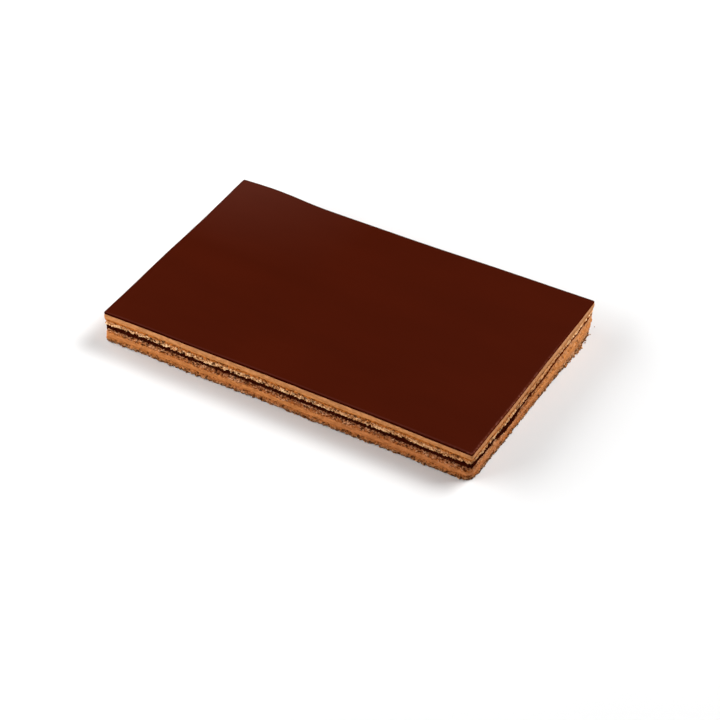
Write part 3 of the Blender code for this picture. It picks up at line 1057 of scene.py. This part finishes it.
CARAMEL = (0.15, 0.034, 0.006)
SYRUP = (0.018, 0.003, 0.001)
LOWER_TINT = (1.09, 1.17, 1.04)
BOTTOM = Sponge(
    "sponge_bottom_crumb",
    # Darker towards the foot: partly the sponge's own colour, partly painted shade where it meets the board.
    bands=((0.0, (0.17, 0.072, 0.032)), (0.35, (0.285, 0.118, 0.048)), (0.8, (0.47, 0.160, 0.045))),
    smear=((0.3, (0.34, 0.155, 0.076)), (0.55, (0.42, 0.185, 0.083)), (0.9, (0.465, 0.188, 0.061))),
    pale=(0.70, 0.40, 0.22),
    pale_band=((0.1, 0.9), (0.4, 0.8), (0.75, 0.1)),
    soaked=CARAMEL,
    soak_band=((0.0, 0.9), (0.5, 0.3)),
    flakes_from=3.65,
    ragged_foot=True,
    warm_left=True,
)
MIDDLE = Sponge(
    "sponge_middle_crumb",
    bands=((0.0, (0.455, 0.133, 0.028)), (0.4, (0.375, 0.124, 0.040)), (0.85, (0.33, 0.119, 0.052))),
    smear=((0.0, (0.76, 0.31, 0.09)), (0.8, (0.74, 0.32, 0.125))),
    pale=(0.74, 0.41, 0.23),
    pale_band=((0.0, 0.55), (0.8, 0.95)),
    soaked=SYRUP,
    soak_band=((0.5, 0.3), (0.85, 1.0)),
    flakes_from=3.75,
    flaky_where_torn=0.9,
    warm_left=True,
    smeared_corner=True,
)
UPPER = Sponge(
    "sponge_upper_crumb",
    bands=((0.0, (0.52, 0.24, 0.095)), (0.5, (0.51, 0.20, 0.065)), (0.8, (0.48, 0.145, 0.025))),
    smear=((0.1, (0.40, 0.145, 0.042)), (0.40, (0.90, 0.47, 0.22)), (0.8, (0.44, 0.18, 0.056))),
    pale=(0.97, 0.66, 0.38),
    pale_band=((0.42, 1.0), (0.66, 0.0)),
    soaked=CARAMEL,
    soak_band=((0.35, 0.2), (0.6, 1.0)),
)


def layer_materials():
    """The finish of each layer, from the lowest up."""
    cream_lower = cream_material(
        "cream_lower",
        low=(0.50, 0.165, 0.043),
        high=(0.52, 0.18, 0.052),
        streak=(0.57, 0.21, 0.07),
        clean_tint=((0.0, LOWER_TINT), (1.0, LOWER_TINT)),
        warm_left=True,
    )
    cream_upper = cream_material(
        "cream_upper",
        low=(0.53, 0.198, 0.046),
        high=(0.53, 0.226, 0.088),
        streak=(0.585, 0.25, 0.086),
        clean_tint=((0.25, (0.87, 0.89, 0.90)), (0.6, (1.03, 1.10, 1.24))),
        dragged_over=(0.55, 0.44, 0.42),
    )
    bottom, middle, upper = [sponge_material(sponge) for sponge in (BOTTOM, MIDDLE, UPPER)]
    return bottom, cream_lower, middle, ganache_material(), upper, cream_upper, glaze_material()


# ---- the studio


CAMERA_AZIMUTH = 31.08
CAMERA_ELEVATION = 40.57
CAMERA_ROLL = -0.908
CAMERA_DISTANCE = 1.4478
CAMERA_LENS = 102.307
CAMERA_SENSOR = 36
CAMERA_AIM = Vector((27.91, -32.74, 13.0)) * MM
FLOOR_HALF = 8.0
FLOOR_GREYS = ((0.3, 0.80), (0.7, 0.82))


def aimed(data, aim, azimuth, elevation, distance, roll=0.0):
    """A camera or light, this far from the place that it faces. Azimuth 0 is the front, and 90 the right."""
    a, e = math.radians(azimuth), math.radians(elevation)
    out = Vector((math.sin(a) * math.cos(e), -math.cos(a) * math.cos(e), math.sin(e)))
    made = in_scene(data.name, data)
    made.location = aim + out * distance
    made.rotation_mode = "QUATERNION"
    made.rotation_quaternion = (-out).to_track_quat("-Z", "Y") @ Quaternion((0, 0, 1), math.radians(roll))
    return made


def add_camera():
    data = bpy.data.cameras.new("camera")
    data.lens = CAMERA_LENS
    data.sensor_width = CAMERA_SENSOR
    camera = aimed(data, CAMERA_AIM, CAMERA_AZIMUTH, CAMERA_ELEVATION, CAMERA_DISTANCE, CAMERA_ROLL)
    bpy.context.scene.camera = camera


def add_light(name, azimuth, elevation, distance, size, watts):
    """A soft box that faces the cake's foot."""
    data = bpy.data.lights.new(name, "AREA")
    data.shape = "RECTANGLE"
    data.size, data.size_y = size
    data.energy = watts
    aimed(data, Vector(), azimuth, elevation, distance)


def add_floor():
    """A plain pale floor, with a faint mottle."""
    shape = bmesh.new()
    bmesh.ops.create_grid(shape, x_segments=1, y_segments=1, size=FLOOR_HALF)
    mesh = bpy.data.meshes.new("floor")
    shape.to_mesh(mesh)
    shape.free()
    floor = in_scene("floor", mesh)
    floor.location.z = cad_box[0].z
    paint = Paint("floor_pale", roughness=0.9, specular=0.1)
    paint.body = paint.ramp(paint.noise(200 * MM, detail=2, roughness=0.5), *FLOOR_GREYS)
    floor.data.materials.append(paint.done())


def add_world(strength, seen):
    """Dim light from all round. The eye sees a pale backdrop instead, which lights nothing."""
    world = bpy.data.worlds.new("studio")
    world.use_nodes = True
    nodes, links = world.node_tree.nodes, world.node_tree.links
    background = nodes["Background"]
    path = nodes.new("ShaderNodeLightPath")
    level = nodes.new("ShaderNodeMapRange")
    level.inputs["To Min"].default_value = strength
    level.inputs["To Max"].default_value = seen
    links.new(path.outputs["Is Camera Ray"], level.inputs["Value"])
    links.new(level.outputs["Result"], background.inputs["Strength"])
    background.inputs["Color"].default_value = (1, 1, 1, 1)
    bpy.context.scene.world = world


# ---- the cake


def dress_layers():
    """Puts a finer piece in the place of each of the frame's layers."""
    for level, (name, material) in enumerate(zip(LAYERS, layer_materials())):
        piece = glaze_piece() if level == GLAZE else layer_piece(level)
        piece.data.materials.append(material)
        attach(piece, "root")
        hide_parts(name)


def add_crumbs():
    crumbs = crumbs_piece()
    crumbs.data.materials.append(crumb_material())
    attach(crumbs, "root")


dress_layers()
add_crumbs()
add_floor()
add_world(strength=0.05, seen=0.9)
add_light("key", azimuth=135, elevation=48, distance=2.2, size=(1.4, 1.1), watts=56)
add_light("front_fill", azimuth=-58, elevation=27, distance=1.3, size=(1.6, 0.8), watts=23)
add_light("back_fill", azimuth=258, elevation=20, distance=1.7, size=(0.8, 0.6), watts=5)
add_camera()
bpy.context.scene.view_settings.view_transform = "Standard"
